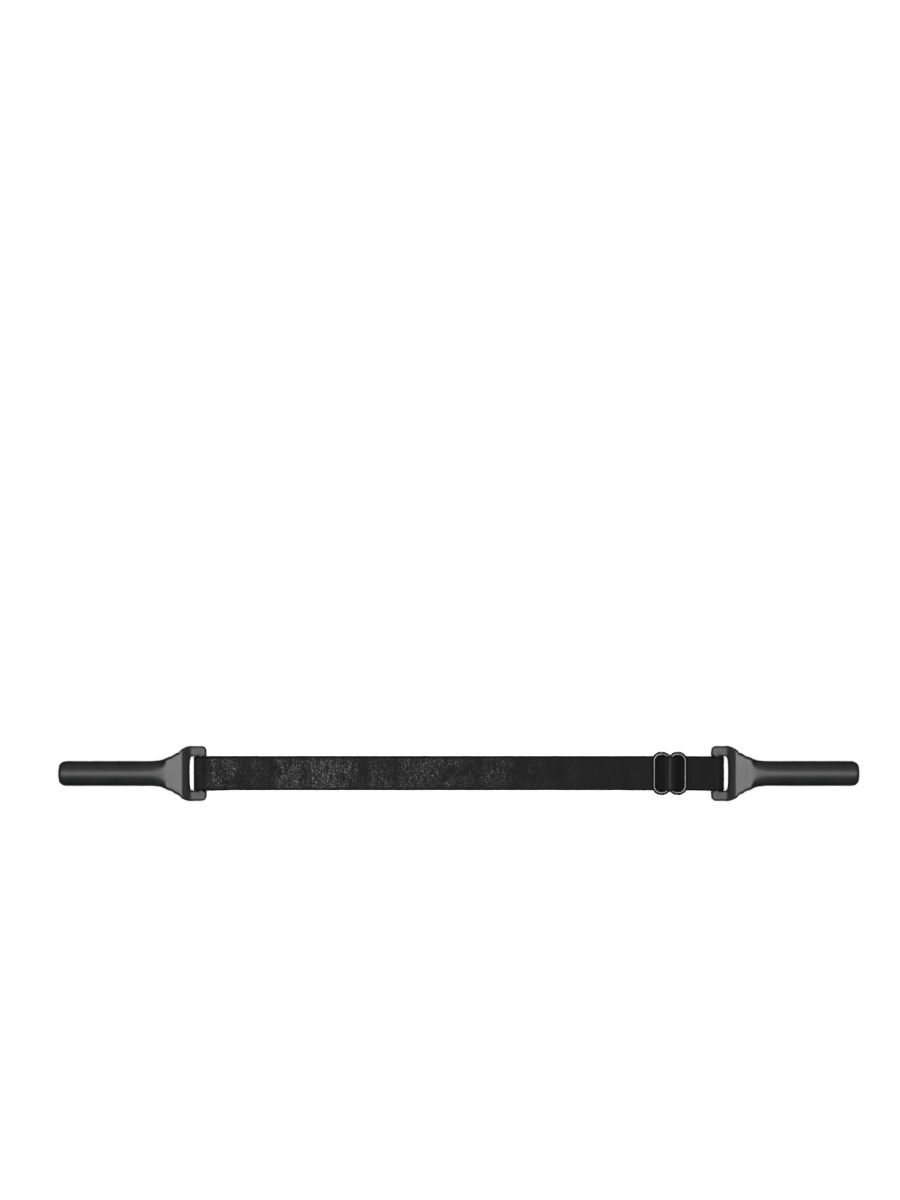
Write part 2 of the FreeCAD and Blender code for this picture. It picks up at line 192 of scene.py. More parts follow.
# ------------------------------------------------------------ temple sleeves
# Half width, half thickness and corner radius of the cross section against the
# distance from the strap's middle.
W_X = [97.3, 98, 98.5, 99, 99.5, 100, 100.5, 101, 101.5, 102, 102.5, 103, 103.5,
       104, 104.5, 105, 105.5, 106, 107, 108, 109, 110, 111, 112.5]
W_Y = [9.88, 9.84, 9.75, 9.63, 9.46, 9.24, 8.93, 8.48, 7.95, 7.52, 7.32, 7.19, 6.85,
       6.44, 6.20, 6.09, 5.95, 5.73, 5.29, 4.91, 4.71, 4.59, 4.50, 4.45]
H_X = [97.0, 97.3, 98.0, 99.0, 100.35, 100.65, 102.0]        # the steep face down to the frame
H_Y = [1.60, 1.63, 2.04, 2.60, 3.24, 3.31, 3.32]
TOP_X = [100.0, 104.4, 106.4, 108.0, 110.0, 113.0, 118.0]
TOP_Y = [3.31, 3.37, 3.42, 3.52, 3.72, 4.08, 4.45]
R_X = [98.0, 104.0, 105.6, 106.4, 107.6]
R_Y = [0.80, 0.92, 1.00, 1.15, 1.60]
# from the facet to the tube the section is a superellipse, whose power falls to the round's 2
N_X = [105.6, 106.4, 107.0, 107.6, 108.4, 109.5, 110.8, 112.5, 118.0]
N_Y = [12.0, 7.0, 4.2, 3.0, 2.45, 2.22, 2.08, 2.0, 2.0]


def sleeve_field(p):
    """The sleeve's field with the tube towards +X; y across, z from its centre line."""
    x, y, z = p[:, 0], np.abs(p[:, 1]), np.abs(p[:, 2])
    rho = np.hypot(y, z)
    # flare and tube: a rounded rectangle that turns into the round of the tube
    w = cubic(W_X, W_Y, x)
    h = np.interp(x, H_X, H_Y)
    h = (h + np.interp(x - 0.2, H_X, H_Y) + np.interp(x + 0.2, H_X, H_Y)) / 3
    h = np.where(x > 101.5, cubic(TOP_X, TOP_Y, x), h)
    r = np.minimum(cubic(R_X, R_Y, x), h - 0.001)
    qy, qz = y - (w - r), z - (h - r)
    flare = np.hypot(np.maximum(qy, 0), np.maximum(qz, 0)) + np.minimum(np.maximum(qy, qz), 0) - r
    power = cubic(N_X, N_Y, x)
    a, b = y / w + 1e-9, z / h + 1e-9
    big = np.maximum(a, b)
    oval = big * ((a / big) ** power + (b / big) ** power) ** (1 / power) - 1
    oval = oval * np.minimum(w, h)
    k = smoothstep(106.2, 107.0, x)
    flare = flare * (1 - k) + oval * k
    flare = smax(flare, 96.9 - x, 0.5)
    # the open end: softly rounded at the sides, crisper over the top and underneath
    crisp = (z / np.maximum(rho, 1e-6)) ** 2
    end, long = 1.8 - 0.8 * crisp, 2.4 - 1.4 * crisp
    qr, qx = (rho - (4.45 - end)) / end, (x + 0.009 * y * y - (TUBE_END - long)) / long
    cap = np.hypot(np.maximum(qr, 0), np.maximum(qx, 0)) + np.minimum(np.maximum(qr, qx), 0) - 1
    cap = cap * end
    flare = np.where(x > TUBE_END - 4, cap, flare)
    # the slotted frame, a plate with rounded corners
    x0, x1, corner = 91.82, 99.2, 1.6
    cx, half = (x0 + x1) / 2, (x1 - x0) / 2
    qx, qy = np.abs(x - cx) - (half - corner), y - (9.88 - corner)
    plan = np.hypot(np.maximum(qx, 0), np.maximum(qy, 0)) + np.minimum(np.maximum(qx, qy), 0) - corner
    edge = 0.62
    a, b = plan + edge, z - (1.6 - edge)
    plate = np.hypot(np.maximum(a, 0), np.maximum(b, 0)) + np.minimum(np.maximum(a, b), 0) - edge
    body = smin(flare, plate, 0.35)
    # the slot
    far = 98.0 - 0.60 * (np.minimum(y, 6.35) / 6.35) ** 4
    corner = 0.7
    cx, half = (90.0 + far) / 2, (far - 90.0) / 2
    qx, qy = np.abs(x - cx) - (half - corner), y - (6.35 - corner)
    slot = np.hypot(np.maximum(qx, 0), np.maximum(qy, 0)) + np.minimum(np.maximum(qx, qy), 0) - corner
    body = smax(body, -slot, 0.55)
    # the round end bar
    bar = np.hypot(x - BAR_X, z) - BAR_R
    bar = np.maximum(bar, y - 7.4)
    body = smin(body, bar, 0.3)
    # the blind bore, with a softened mouth and a rounded end
    qr, qx = rho - (2.4 - 1.0), (109.25 + 1.0) - x
    bore = np.hypot(np.maximum(qr, 0), np.maximum(qx, 0)) + np.minimum(np.maximum(qr, qx), 0) - 1.0
    body = smax(body, -bore, 0.5)
    return body


def make_sleeve(name, sign, verts, faces):
    v = verts.copy()
    v[:, 0] *= sign
    v[:, 2] += AXIS_Z
    f = faces if sign > 0 else faces[:, ::-1]
    return mesh_object(name, v, f)


step = 0.34
sv, sf = skin(sleeve_field, (91.0, -10.4, -5.0), (146.0, 10.4, 5.0), step)
right_sleeve = make_sleeve("right_silicone_sleeve", 1, sv, sf)
left_sleeve = make_sleeve("left_silicone_sleeve", -1, sv, sf)
for obj, node in ((left_sleeve, "left_sleeve"), (right_sleeve, "right_sleeve")):
    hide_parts(node)
    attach(obj, node)


# ------------------------------------------------------------------ adjuster
def adjuster_field(p):
    x, y, z = p[:, 0], np.abs(p[:, 1]), p[:, 2]

    def lobe(side):
        u = side * x - LOBE_OFF                      # outwards from the lobe's middle
        r = np.where(u > 0, LOBE_R, LOBE_IN)
        qx, qy = np.abs(u) - (LOBE_W - r), y - (LOBE_REACH - r)
        d = np.hypot(np.maximum(qx, 0), np.maximum(qy, 0)) + np.minimum(np.maximum(qx, qy), 0) - r
        return np.hypot(d, z) - WIRE_R

    return smin(lobe(-1), lobe(1), 0.9)


av, af = skin(adjuster_field, (-6.8, -8.2, -1.0), (6.8, 8.2, 1.0), 0.17)
av = av + np.array([SX, 0, SZ])
adjuster = mesh_object("wire_adjuster", av, af)
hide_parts("slider_ring")
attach(adjuster, "slider")


# ---------------------------------------------------------------- the band
def headings(route):
    out = []
    for (x0, z0, s0), (x1, z1, s1) in zip(route, route[1:]):
        dist = math.hypot(x1 - x0, z1 - z0)
        out.append(math.atan2(z1 - z0, x1 - x0) + math.asin(max(-1, min(1, (s1 - s0) / dist))))
    return out


def segments(route):
    heads, items = headings(route), []

    def at(k, phi):
        x, z, s = route[k]
        return (x - s * math.sin(phi), z + s * math.cos(phi))

    for k, phi in enumerate(heads):
        if k:
            x, z, s = route[k]
            turn = phi - heads[k - 1]
            while turn > math.pi:
                turn -= 2 * math.pi
            while turn < -math.pi:
                turn += 2 * math.pi
            if s > 0 and turn > 1e-9:
                turn -= 2 * math.pi
            if s < 0 and turn < -1e-9:
                turn += 2 * math.pi
            if abs(turn) > 1e-6:
                px, pz = at(k, heads[k - 1])
                items.append(("A", (x, z), abs(s), math.atan2(pz - z, px - x), turn))
        p, q = at(k, phi), at(k + 1, phi)
        if math.dist(p, q) > 1e-6:
            items.append(("L", p, q))
    return items


def lengths(items):
    return np.array(
        [math.dist(i[1], i[2]) if i[0] == "L" else i[2] * abs(i[4]) for i in items]
    )


def walk(items, s):
    """The point and heading at each distance s along the items."""
    ends = np.cumsum(lengths(items))
    starts = ends - lengths(items)
    out = np.zeros((len(s), 3))
    which = np.clip(np.searchsorted(ends, s, side="left"), 0, len(items) - 1)
    for n, (k, d) in enumerate(zip(which, s)):
        i, d = items[k], d - starts[k]
        if i[0] == "L":
            (x0, z0), (x1, z1) = i[1], i[2]
            L = math.dist(i[1], i[2])
            out[n] = x0 + (x1 - x0) * d / L, z0 + (z1 - z0) * d / L, math.atan2(z1 - z0, x1 - x0)
        else:
            _, (cx, cz), r, start, turn = i
            a = start + math.copysign(d / r, turn)
            out[n] = cx + r * math.cos(a), cz + r * math.sin(a), a + math.copysign(math.pi / 2, turn)
    return out


t, mid, pitch = BAND_T, BAND_T / 2, BAND_T + GAP
low_z, up_z = mid, mid + pitch
bar_r = BAR_R + GAP + mid
wrap_r = WIRE_R + GAP + mid
inner, outer = LOBE_OFF - LOBE_W, LOBE_OFF + LOBE_W
tail_z, pass_z = SZ - wrap_r - pitch, SZ - wrap_r
drop_r = 2.62

wave_head = [
    (RUN_R, up_z, 0), (58.0, up_z + 6.0, -6.0), (63.6, pass_z - 6.0, 6.0),
    (SX - outer, SZ, -wrap_r), (SX - inner, SZ, wrap_r + pitch),
    (SX + inner, SZ, wrap_r + pitch), (SX + outer, SZ, -wrap_r),
]
rise = headings(wave_head + [(BAR_X, AXIS_Z, bar_r)])[-1]
foot = (SX + outer + wrap_r * math.sin(rise), SZ - wrap_r * math.cos(rise))


def on_rise(x, below=0.0):
    d = x - foot[0]
    return (x + below * math.sin(rise), foot[1] + d * math.tan(rise) - below * math.cos(rise))


loop_route = [
    (SX - 11.7, tail_z, 0),
    (SX - outer, SZ, -(wrap_r + pitch)), (SX - inner, SZ, wrap_r), (SX + inner, SZ, wrap_r),
    (SX - inner, SZ, wrap_r), (SX - inner, SZ - wrap_r - drop_r, -drop_r),
    (SX - inner - 4.4, low_z + drop_r, drop_r),
    (-84.5, low_z + 8.0, 8.0), (-BAR_X, AXIS_Z, bar_r), (-81.0, up_z + 9.0, -9.0),
] + wave_head[1:-1]
bottom = (SX + outer, pass_z)                 # the passing ply's lowest point, under the right outer bar
loop_route += [(SX + outer, SZ, -wrap_r), (bottom[0] + 1e-4, pass_z, 0)]
crest_r = 3.0
turn_in = on_rise(87.4, pitch)
short_route = [
    (bottom[0] - 1e-4, pass_z, 0), (SX + outer, SZ, -wrap_r), (BAR_X, AXIS_Z, bar_r),
    (turn_in[0] + crest_r * math.sin(rise), turn_in[1] - crest_r * math.cos(rise), -crest_r),
    on_rise(84.7, pitch) + (0,),
]
RIB = 0.9                                     # pitch of the elastic's cross ribs


def stations(items, free):
    """Distances along the items, four to a rib, with none inside the free spans."""
    total = lengths(items).sum()
    s = np.linspace(0, total, int(round(total / RIB)) * 4 + 1)
    pts = walk(items, s)
    for a, b, z in free:
        keep = ~((pts[:, 0] > a) & (pts[:, 0] < b) & (np.abs(pts[:, 1] - z) < 1.5))
        s, pts = s[keep], pts[keep]
    return s, total


ACROSS = np.concatenate([[-1.0, -0.985, -0.955, -0.91], np.linspace(-0.84, 0.84, 15), [0.91, 0.955, 0.985, 1.0]])


def band_piece(name, route, free=(), shift=0.0, thin=0.0):
    """The band along a route, a closed strip with ribbed faces and rounded selvedges."""
    items = segments(route)
    s, total = stations(items, free)
    pts = walk(items, s)
    n, m = len(s), len(ACROSS)
    half_t = 0.425 - thin
    # the wire crowds the sewn ply inside the adjuster, and nips the passing ply at its corners
    off = np.abs(pts[:, 0] - SX)
    sewn = (s + shift < 40) & (pts[:, 1] > 1.6)
    nip = np.exp(-(((off - 4.9) / 0.75) ** 2)) * (s + shift > 250)
    wide = BAND_W / 2 + 0.02 - np.where(sewn, (BAND_W - BAND_SLIM) / 2 * smoothstep(6.4, 4.9, off), 0) - 0.30 * nip
    rib = np.cos(2 * np.pi * s / RIB)
    slow = np.sin(s / 11.0 + 1.3) * 0.5 + np.sin(s / 4.7 + 0.4) * 0.3
    verts, uvs = [], []
    v = ACROSS
    # the two faces draw together over the selvedges
    lip = 1 - np.clip((np.abs(v) - 0.93) / 0.07, 0, 1) ** 2.2
    lip = np.sqrt(np.clip(lip, 0, 1))
    near_edge = smoothstep(0.55, 0.95, np.abs(v))
    for k in range(n):
        x, z, phi = pts[k]
        nx, nz = -math.sin(phi), math.cos(phi)
        w = wide[k] + 0.03 * rib[k] + 0.02 * slow[k]
        out = half_t * lip + lip * (0.010 + 0.022 * near_edge) * rib[k]
        back = half_t * lip + lip * 0.018 * rib[k]
        y = v * w
        for offs, order in ((out, 1), (-back, -1)):
            o = offs if order == 1 else offs[::-1]
            yy = y if order == 1 else y[::-1]
            ring = np.stack([x + nx * o, yy, z + nz * o], 1)
            if order == 1:
                verts.append(ring)
                uvs.append(np.stack([np.full(m, s[k]), yy, np.ones(m)], 1))
            else:
                verts.append(ring[1:-1])
                uvs.append(np.stack([np.full(m - 2, s[k]), yy[1:-1], np.zeros(m - 2)], 1))
    ring_n = 2 * m - 2
    verts, uvs = np.concatenate(verts), np.concatenate(uvs)
    faces = []
    for k in range(n - 1):
        a, b = k * ring_n, (k + 1) * ring_n
        for j in range(ring_n):
            j2 = (j + 1) % ring_n
            faces.append((a + j, b + j, b + j2, a + j2))
    # the cut ends
    for k, flip in ((0, False), (n - 1, True)):
        a = k * ring_n
        top = list(range(a, a + m))
        under = [a + m - 1] + list(range(a + ring_n - 1, a + m - 1, -1))[::-1] + [a]
        low = [a + m - 1 + i for i in range(1, m - 1)][::-1]
        low = [a] + low + [a + m - 1]
        for j in range(m - 1):
            quad = [top[j], top[j + 1], low[j + 1], low[j]]
            quad = list(dict.fromkeys(quad))
            if len(quad) > 2:
                faces.append(tuple(quad if not flip else quad[::-1]))
    obj = mesh_object(name, verts, faces)
    mesh = obj.data
    layer = mesh.uv_layers.new(name="weave")
    loops = np.zeros(len(mesh.loops), int)
    mesh.loops.foreach_get("vertex_index", loops)
    flat = np.zeros((len(loops), 2), np.float32)
    flat[:, 0] = (uvs[loops, 0] + shift) * MM
    flat[:, 1] = uvs[loops, 1] * MM
    layer.data.foreach_set("uv", flat.ravel())
    at = mesh.attributes.new("outer_face", "FLOAT", "POINT")
    at.data.foreach_set("value", uvs[:, 2].astype(np.float32))
    way = mesh.attributes.new("along", "FLOAT", "POINT")
    way.data.foreach_set("value", ((uvs[:, 0] + shift)).astype(np.float32))
    return obj, total


band_loop, loop_len = band_piece("elastic_band_loop", loop_route)
band_short, short_len = band_piece("elastic_band_short_end", short_route, free=[(83.45, 84.65, 3.1)], shift=loop_len, thin=0.004)
print("band: loop %.1f mm, short end %.1f mm, %d + %d vertices" % (loop_len, short_len, len(band_loop.data.vertices), len(band_short.data.vertices)))
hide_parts("band_sewn_end", "band_lower_run", "band_left_loop", "band_upper_run", "band_slider_wave")
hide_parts("band_short_run", "band_right_loop")
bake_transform(band_loop)
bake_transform(band_short)


# ------------------------------------------------------------------ the seams
def stitch(a, b, up, lift, r, rings=12, around=8):
    """One stitch of twisted thread from a to b, bowed out of the cloth and dipping in at both ends."""
    a, b, up = np.array(a, float), np.array(b, float), np.array(up, float)
    way = (b - a) / np.linalg.norm(b - a)
    cross = np.cross(up, way)
    verts, faces = [], []
    for i in range(rings):
        u = i / (rings - 1)
        arch = 1 - (2 * u - 1) ** 2
        slope = -4 * (2 * u - 1) * lift / np.linalg.norm(b - a)
        nrm = up - way * slope
        nrm = nrm / np.linalg.norm(nrm)
        c = a + (b - a) * u + up * (lift * (arch - 1))
        cap = math.sqrt(max(0.0, 1 - max(0.0, abs(2 * u - 1) - 0.78) ** 2 / 0.0484)) if abs(2 * u - 1) < 1 else 0.0
        for j in range(around):
            t = 2 * math.pi * j / around
            twist = 1 + 0.12 * math.cos(2 * (t + u * 9.0))
            rr = r * twist * max(cap, 0.05)
            verts.append(c + nrm * rr * math.sin(t) + cross * rr * math.cos(t))
    for i in range(rings - 1):
        for j in range(around):
            k = (j + 1) % around
            faces.append((i * around + j, i * around + k, (i + 1) * around + k, (i + 1) * around + j))
    faces.append(tuple(range(around))[::-1])
    faces.append(tuple((rings - 1) * around + j for j in range(around)))
    return verts, faces


def seam(name, rows, lean, top, bottom, node, body, lift=0.16, r=0.1):
    """Rows of stitches on both faces of two sewn plies. rows: (x, z) of the seam's middle."""
    verts, faces = [], []
    up = np.array([-math.sin(lean), 0, math.cos(lean)])
    along = np.array([math.cos(lean), 0, math.sin(lean)])
    for row, (x, z) in enumerate(rows):
        for k in range(8):
            y0 = (k - 4) * 1.36 + (0.14 if row % 2 else -0.14) + 0.12
            y1 = y0 + 1.12
            dx = 0.16 if k % 2 else -0.16
            for face, high in ((1, top), (-1, bottom)):
                a = np.array([x, y0, z]) + up * (face * (high - 0.5 * r)) - along * dx
                b = np.array([x, y1, z]) + up * (face * (high - 0.5 * r)) + along * dx
                v, f = stitch(a, b, up * face, lift, r)
                off = len(verts)
                verts += v
                faces += [tuple(i + off for i in q) for q in f] if face > 0 else [tuple(i + off for i in q)[::-1] for q in f]
    obj = mesh_object(name, np.array(verts), faces)
    bm = bmesh.new()
    bm.from_mesh(obj.data)
    bmesh.ops.recalc_face_normals(bm, faces=bm.faces)
    bm.to_mesh(obj.data)
    bm.free()
    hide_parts(node)
    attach(obj, body)
    return obj


seam_z = (low_z + tail_z) / 2
half_seam = (tail_z - low_z) / 2 + 0.43
tack_slider = seam("adjuster_bar_tack", [(SX - 10.4, seam_z), (SX - 9.2, seam_z), (SX - 8.0, seam_z)], 0.0, half_seam, half_seam - 0.03, "slider_bar_tack", "slider")
tack_right = seam("short_end_bar_tack", [on_rise(x, pitch / 2) for x in (85.5, 86.5, 87.5)], rise, pitch / 2 + 0.43, pitch / 2 + 0.43, "right_bar_tack", "right_end")


# ------------------------------------------------------------------ materials
def material(name):
    mat = bpy.data.materials.new(name)
    mat.use_nodes = True
    tree = mat.node_tree
    return mat, tree, tree.nodes["Principled BSDF"]


def add(tree, kind, **values):
    node = tree.nodes.new(kind)
    for key, value in values.items():
        if hasattr(node, key):
            setattr(node, key, value)
        else:
            node.inputs[key.replace("_", " ")].default_value = value
    return node


def noise(tree, vector, scale, detail=3.0, rough=0.55, distortion=0.0):
    node = add(tree, "ShaderNodeTexNoise")
    node.inputs["Scale"].default_value = scale
    node.inputs["Detail"].default_value = detail
    node.inputs["Roughness"].default_value = rough
    node.inputs["Distortion"].default_value = distortion
    tree.links.new(vector, node.inputs["Vector"])
    return node.outputs["Fac"]


def spread(tree, value, a, b, c=0.0, d=1.0, smooth=False):
    node = add(tree, "ShaderNodeMapRange")
    node.interpolation_type = "SMOOTHSTEP" if smooth else "LINEAR"
    for i, v in ((1, a), (2, b), (3, c), (4, d)):
        node.inputs[i].default_value = v
    tree.links.new(value, node.inputs[0])
    return node.outputs[0]


def maths(tree, op, a, b=None):
    node = add(tree, "ShaderNodeMath", operation=op)
    for i, v in ((0, a), (1, b)):
        if v is None:
            continue
        if isinstance(v, (int, float)):
            node.inputs[i].default_value = v
        else:
            tree.links.new(v, node.inputs[i])
    return node.outputs[0]


def tint(tree, fac, dark, light):
    node = add(tree, "ShaderNodeMix", data_type="RGBA")
    node.inputs[6].default_value = (*dark, 1)
    node.inputs[7].default_value = (*light, 1)
    tree.links.new(fac, node.inputs[0])
    return node.outputs[2]


def stretch_coords(tree, sx, sy, sz):
    where = add(tree, "ShaderNodeTexCoord")
    m = add(tree, "ShaderNodeMapping")
    m.inputs["Scale"].default_value = (sx, sy, sz)
    tree.links.new(where.outputs["Object"], m.inputs["Vector"])
    return m.outputs["Vector"]


def bump(tree, bsdf, height, strength, distance):
    node = add(tree, "ShaderNodeBump")
    node.inputs["Strength"].default_value = strength
    node.inputs["Distance"].default_value = distance
    tree.links.new(height, node.inputs["Height"])
    tree.links.new(node.outputs["Normal"], bsdf.inputs["Normal"])


# moulded black silicone: satin, with a faint bloom and a very fine grain
silicone, tree, bsdf = material("moulded_silicone")
at = stretch_coords(tree, 1, 1, 1)
cloud = noise(tree, at, 160, 4, 0.6)
grain = noise(tree, at, 3800, 2, 0.5)
dust = noise(tree, at, 1300, 5, 0.7)
tree.links.new(tint(tree, spread(tree, cloud, 0.3, 0.7), (0.0105, 0.0107, 0.0110), (0.0150, 0.0152, 0.0155)), bsdf.inputs["Base Color"])
# the flats of the moulded end are smoother than the tube
where = add(tree, "ShaderNodeTexCoord")
split = add(tree, "ShaderNodeSeparateXYZ")
tree.links.new(where.outputs["Object"], split.inputs[0])
reach = maths(tree, "ABSOLUTE", split.outputs["X"])
rough = maths(tree, "ADD", spread(tree, reach, 0.1055, 0.1088, 0.455, 0.520, smooth=True), spread(tree, dust, 0.4, 0.75, 0.0, 0.05))
rough = maths(tree, "ADD", rough, spread(tree, reach, 0.0970, 0.0985, 0.052, 0.0, smooth=True))
rough = maths(tree, "ADD", rough, spread(tree, cloud, 0.3, 0.7, -0.015, 0.015))
tree.links.new(rough, bsdf.inputs["Roughness"])
bsdf.inputs["Specular IOR Level"].default_value = 0.30
# the mould's parting line, along the sides at mid height
part = maths(tree, "ABSOLUTE", maths(tree, "SUBTRACT", split.outputs["Z"], 0.00445))
part = spread(tree, part, 0.00004, 0.00016, 1.0, 0.0, smooth=True)
height = maths(tree, "ADD", grain, maths(tree, "MULTIPLY", dust, 1.4))
bump(tree, bsdf, maths(tree, "ADD", height, maths(tree, "MULTIPLY", part, 2.5)), 0.25, 0.00002)
for obj in (left_sleeve, right_sleeve):
    obj.data.materials.append(silicone)

# black enamelled wire
enamel, tree, bsdf = material("black_enamel")
at = stretch_coords(tree, 1, 1, 1)
flow = noise(tree, at, 420, 3, 0.5)
fleck = noise(tree, at, 2600, 2, 0.5)
tree.links.new(tint(tree, spread(tree, flow, 0.3, 0.7), (0.008, 0.008, 0.009), (0.014, 0.014, 0.015)), bsdf.inputs["Base Color"])
tree.links.new(spread(tree, flow, 0.3, 0.7, 0.27, 0.34), bsdf.inputs["Roughness"])
bsdf.inputs["Specular IOR Level"].default_value = 0.28
bump(tree, bsdf, maths(tree, "ADD", flow, maths(tree, "MULTIPLY", fleck, 0.25)), 0.25, 0.00006)
adjuster.data.materials.append(enamel)

# black elastic: matt and ribbed; painted sheen and painted glints lie in patches on its satin outer face
elastic, tree, bsdf = material("black_elastic")
at = stretch_coords(tree, 1, 1, 1)
along = add(tree, "ShaderNodeAttribute", attribute_name="along").outputs["Fac"]
outer_side = add(tree, "ShaderNodeAttribute", attribute_name="outer_face").outputs["Fac"]
UPPER = float(lengths(segments(loop_route[:10] + [(RUN_L, up_z, 0)])).sum()) - RUN_L   # along = UPPER + x on the upper ply
track = np.linspace(0, loop_len, 4001)
track_x = walk(segments(loop_route), track)[:, 0]
CREST = float(track[np.argmin(np.abs(track_x - SX) + 1e3 * (track < 250))])
print("upper ply: along = x + %.2f; crest at %.2f of %.2f" % (UPPER, CREST, loop_len))
FULL = loop_len + short_len
# how strong the painted sheen and painted glints are, patch by patch along the upper ply
painted_sheen_patches = [(-92.2, -82.7, 1.0), (-77, -73, 0.40), (-66.5, -57.3, 0.85), (-55.0, -41.6, 0.95), (-32.5, -25.6, 0.62), (-21.3, -6.4, 0.66),
           (8.9, 16.2, 0.52), (24.0, 28.5, 0.34), (39.0, 42.5, 0.30)]
stops = [(0.0, 0.3), (100.0, 0.5), (UPPER - 102, 0.5)]
for a, b, v in painted_sheen_patches:
    rest = 0.15 if b < 20 else 0.07
    stops += [(UPPER + a - 1.5, rest), (UPPER + a + 1.0, v), (UPPER + b - 1.0, v)]
stops += [(UPPER + 45, 0.05), (UPPER + 64.5, 0.05), (UPPER + 66, 0.2), (UPPER + 69, 0.2)]
ramp = add(tree, "ShaderNodeValToRGB")
ramp.color_ramp.interpolation = "LINEAR"
elements = ramp.color_ramp.elements
for k, (x, v) in enumerate(stops[:31]):
    e = elements[k] if k < 1 else (elements[1] if k == 1 else elements.new(1.0))
    e.position = x / FULL
    e.color = (v, v, v, 1)
last = elements.new(1.0)
last.position, last.color = (UPPER + 71) / FULL, (0.03, 0.03, 0.03, 1)
tree.links.new(maths(tree, "DIVIDE", along, FULL), ramp.inputs["Fac"])
painted_sheen_strength = ramp.outputs["Color"]
where = add(tree, "ShaderNodeTexCoord")
split = add(tree, "ShaderNodeSeparateXYZ")
tree.links.new(where.outputs["Object"], split.inputs[0])
cloud = noise(tree, at, 190, 3, 0.6)
speck = noise(tree, stretch_coords(tree, 1.0, 0.7, 1.0), 2300, 2, 0.6)
grit = noise(tree, at, 2300, 1, 0.5)
yarn = noise(tree, stretch_coords(tree, 1.0, 0.16, 1.0), 3400, 2, 0.5)
# painted sheen: a grey haze and bright specks are painted into the colour of the satin face, in ragged patches
ragged = maths(tree, "ADD", cloud, maths(tree, "MULTIPLY", painted_sheen_strength, 0.17))
painted_sheen_mask = maths(tree, "MULTIPLY", maths(tree, "MULTIPLY", painted_sheen_strength, spread(tree, ragged, 0.41, 0.62)), outer_side)
inboard = spread(tree, maths(tree, "ABSOLUTE", split.outputs["Y"]), 0.0048, 0.0058, 1.0, 0.0, smooth=True)
painted_sheen_mask = maths(tree, "MULTIPLY", painted_sheen_mask, inboard)
painted_sheen_haze = maths(tree, "MULTIPLY", painted_sheen_mask, spread(tree, grit, 0.42, 0.66))
painted_glint = maths(tree, "MULTIPLY", spread(tree, speck, 0.55, 0.70), painted_sheen_mask)
base = tint(tree, spread(tree, yarn, 0.35, 0.65), (0.0058, 0.0058, 0.0060), (0.0090, 0.0090, 0.0093))
painted_sheen_mix = add(tree, "ShaderNodeMix", data_type="RGBA")
painted_sheen_mix.inputs[7].default_value = (0.027, 0.027, 0.027, 1)
tree.links.new(painted_sheen_haze, painted_sheen_mix.inputs[0])
tree.links.new(base, painted_sheen_mix.inputs[6])
# painted glints: bright specks painted into the colour over the haze
painted_glint_mix = add(tree, "ShaderNodeMix", data_type="RGBA")
painted_glint_mix.inputs[7].default_value = (0.13, 0.13, 0.13, 1)
tree.links.new(painted_glint, painted_glint_mix.inputs[0])
tree.links.new(painted_sheen_mix.outputs[2], painted_glint_mix.inputs[6])
# painted highlight: a dotted light line painted into the colour over the bend at the adjuster's centre bar
crest = spread(tree, maths(tree, "ABSOLUTE", maths(tree, "SUBTRACT", along, CREST)), 0.15, 0.50, 1.0, 0.0, smooth=True)
warp = maths(tree, "SINE", maths(tree, "MULTIPLY", split.outputs["Y"], 2 * math.pi / 0.00078))
painted_crest_highlight = maths(tree, "MULTIPLY", crest, spread(tree, warp, -0.5, 0.8, 0.15, 1.0))
crest_highlight_mix = add(tree, "ShaderNodeMix", data_type="RGBA")
crest_highlight_mix.inputs[7].default_value = (0.030, 0.030, 0.030, 1)
tree.links.new(painted_crest_highlight, crest_highlight_mix.inputs[0])
tree.links.new(painted_glint_mix.outputs[2], crest_highlight_mix.inputs[6])
# painted shade: the colour darkens towards the rounded selvedges
edge = spread(tree, maths(tree, "ABSOLUTE", split.outputs["Y"]), 0.00545, 0.0059, 0.0, 1.0, smooth=True)
selvedge_painted_shade = add(tree, "ShaderNodeMix", data_type="RGBA", blend_type="MULTIPLY")
selvedge_painted_shade.inputs[7].default_value = (0.35, 0.35, 0.35, 1)
tree.links.new(edge, selvedge_painted_shade.inputs[0])
tree.links.new(crest_highlight_mix.outputs[2], selvedge_painted_shade.inputs[6])
tree.links.new(selvedge_painted_shade.outputs[2], bsdf.inputs["Base Color"])
tree.links.new(spread(tree, maths(tree, "ADD", painted_glint, painted_crest_highlight), 0.0, 0.8, 0.80, 0.55), bsdf.inputs["Roughness"])
bsdf.inputs["Specular IOR Level"].default_value = 0.14
bump(tree, bsdf, maths(tree, "ADD", maths(tree, "MULTIPLY", yarn, 0.8), maths(tree, "MULTIPLY", speck, 0.7)), 0.45, 0.00008)
for obj in (band_loop, band_short):
    obj.data.materials.append(elastic)

# black polyester sewing thread
thread, tree, bsdf = material("black_thread")
at = stretch_coords(tree, 1, 1, 1)
ply = noise(tree, stretch_coords(tree, 1.0, 0.3, 1.0), 5200, 2, 0.5)
tree.links.new(tint(tree, spread(tree, ply, 0.35, 0.65), (0.010, 0.010, 0.011), (0.028, 0.028, 0.029)), bsdf.inputs["Base Color"])
tree.links.new(spread(tree, ply, 0.3, 0.7, 0.42, 0.62), bsdf.inputs["Roughness"])
bsdf.inputs["Specular IOR Level"].default_value = 0.3
bump(tree, bsdf, ply, 0.5, 0.00006)
for obj in (tack_slider, tack_right):
    obj.data.materials.append(thread)

